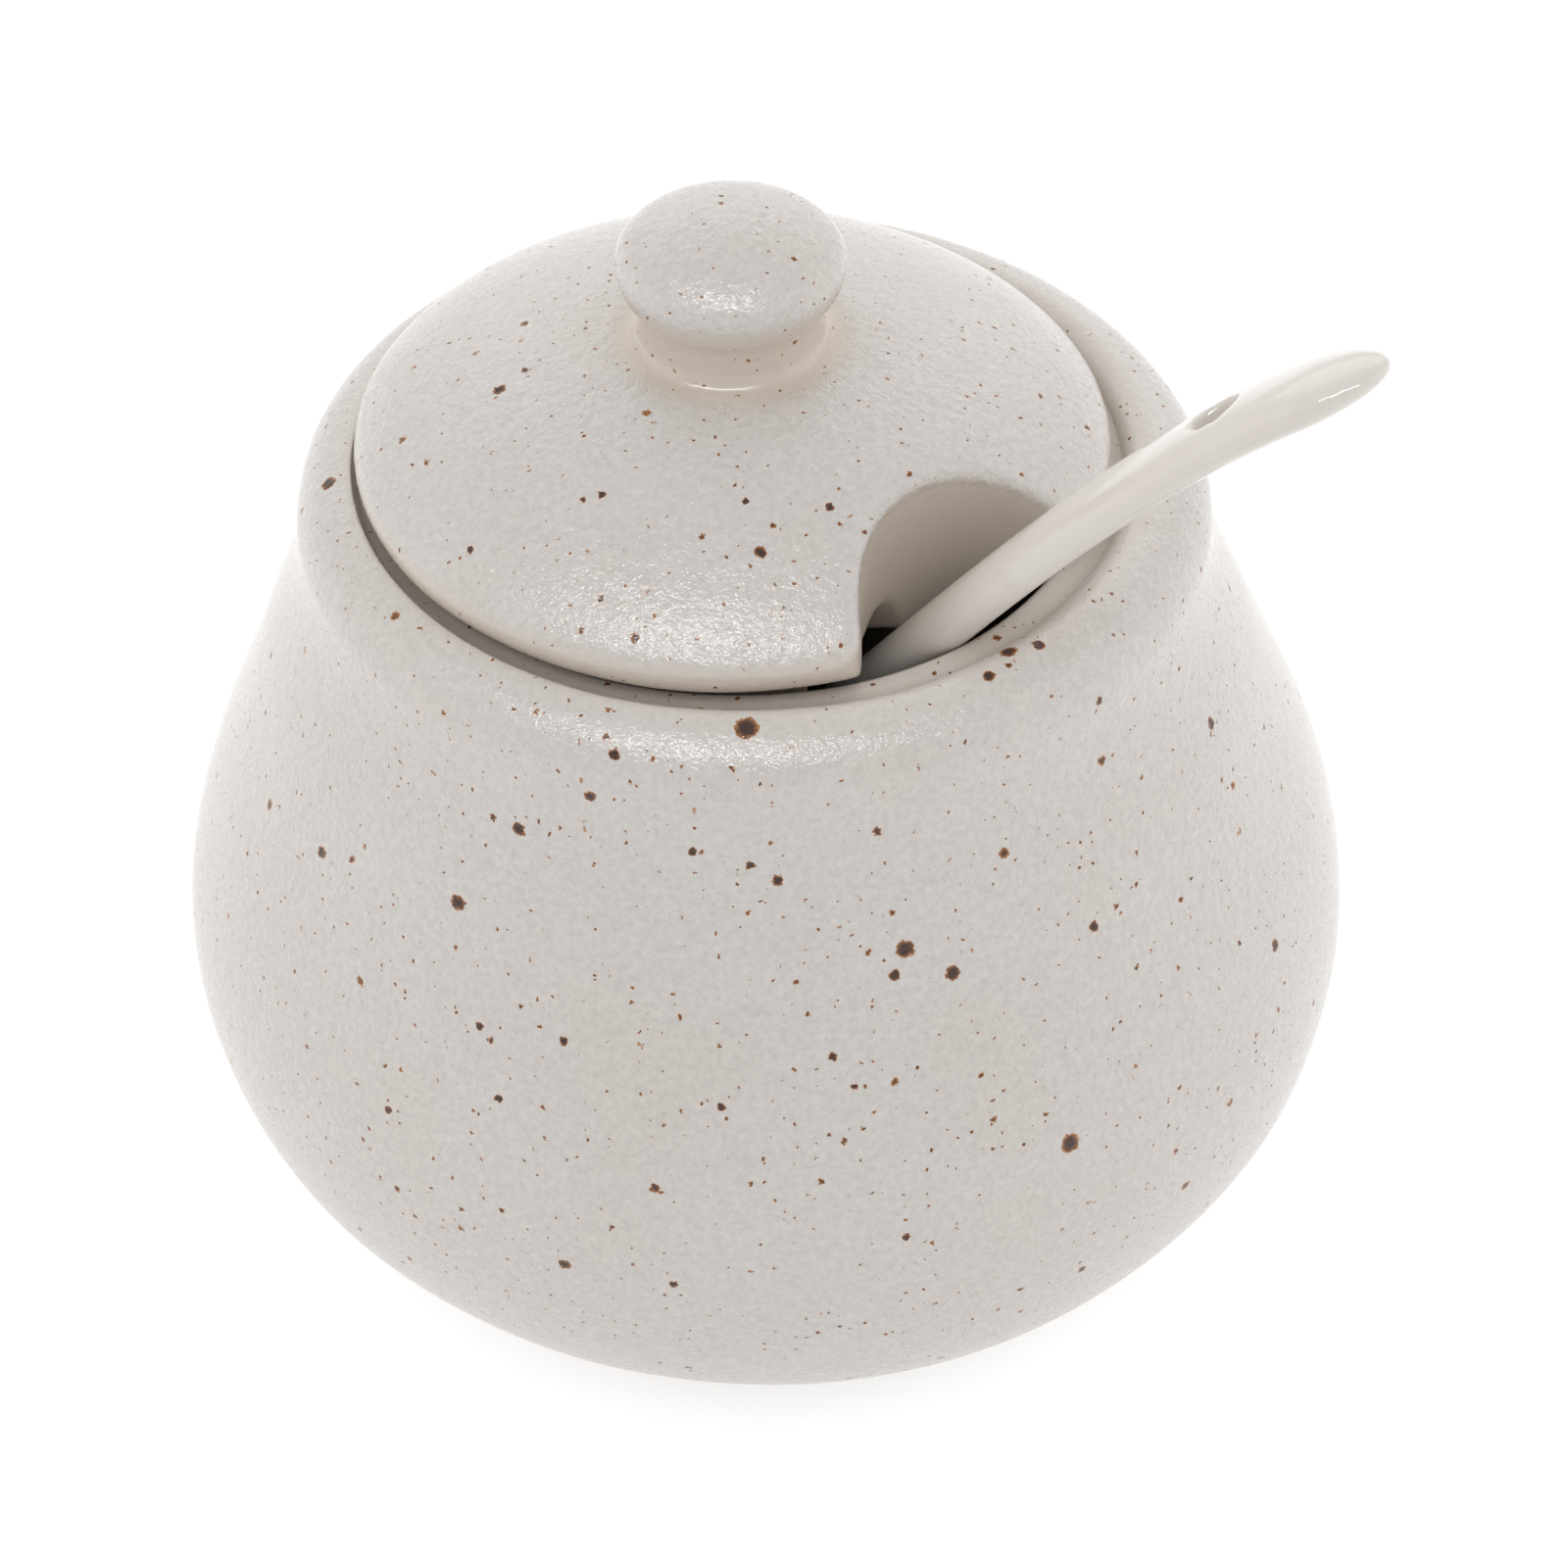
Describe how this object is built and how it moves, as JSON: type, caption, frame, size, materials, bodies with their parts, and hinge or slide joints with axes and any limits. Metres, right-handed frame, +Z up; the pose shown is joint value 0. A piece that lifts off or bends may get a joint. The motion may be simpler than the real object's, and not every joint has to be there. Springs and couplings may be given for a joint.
{
  "type": "jam pot",
  "caption": "Speckled stoneware jam pot with a full round belly, a domed lid with a knob and a spoon notch, and a white porcelain spoon standing in it",
  "frame": {"origin": "middle of the foot, on the plane the pot stands on", "axes": "+Z up along the pot's axis, -Y to the front where the lid's notch and the spoon are seen, +X to the right, where the spoon leans out"},
  "size_m": [0.11, 0.11, 0.1154],
  "materials": {
    "stoneware_glaze": "satin",
    "lid_glaze": "satin",
    "spoon_glaze": "gloss"
  },
  "bodies": {
    "pot_body": {"pot": "stoneware_glaze"},
    "lid_body": {"lid": "lid_glaze"},
    "spoon_body": {"spoon": "spoon_glaze"}
  },
  "joints": [
    {"name": "lid_lift", "type": "slide", "parent": "pot_body", "child": "lid_body", "axis": [0, 0, 1], "range_m": [0, 0.06]},
    {"name": "spoon_draw", "type": "slide", "parent": "pot_body", "child": "spoon_body", "axis": [0.6039, -0.1618, 0.7804], "range_m": [0, 0.045]}
  ]
}
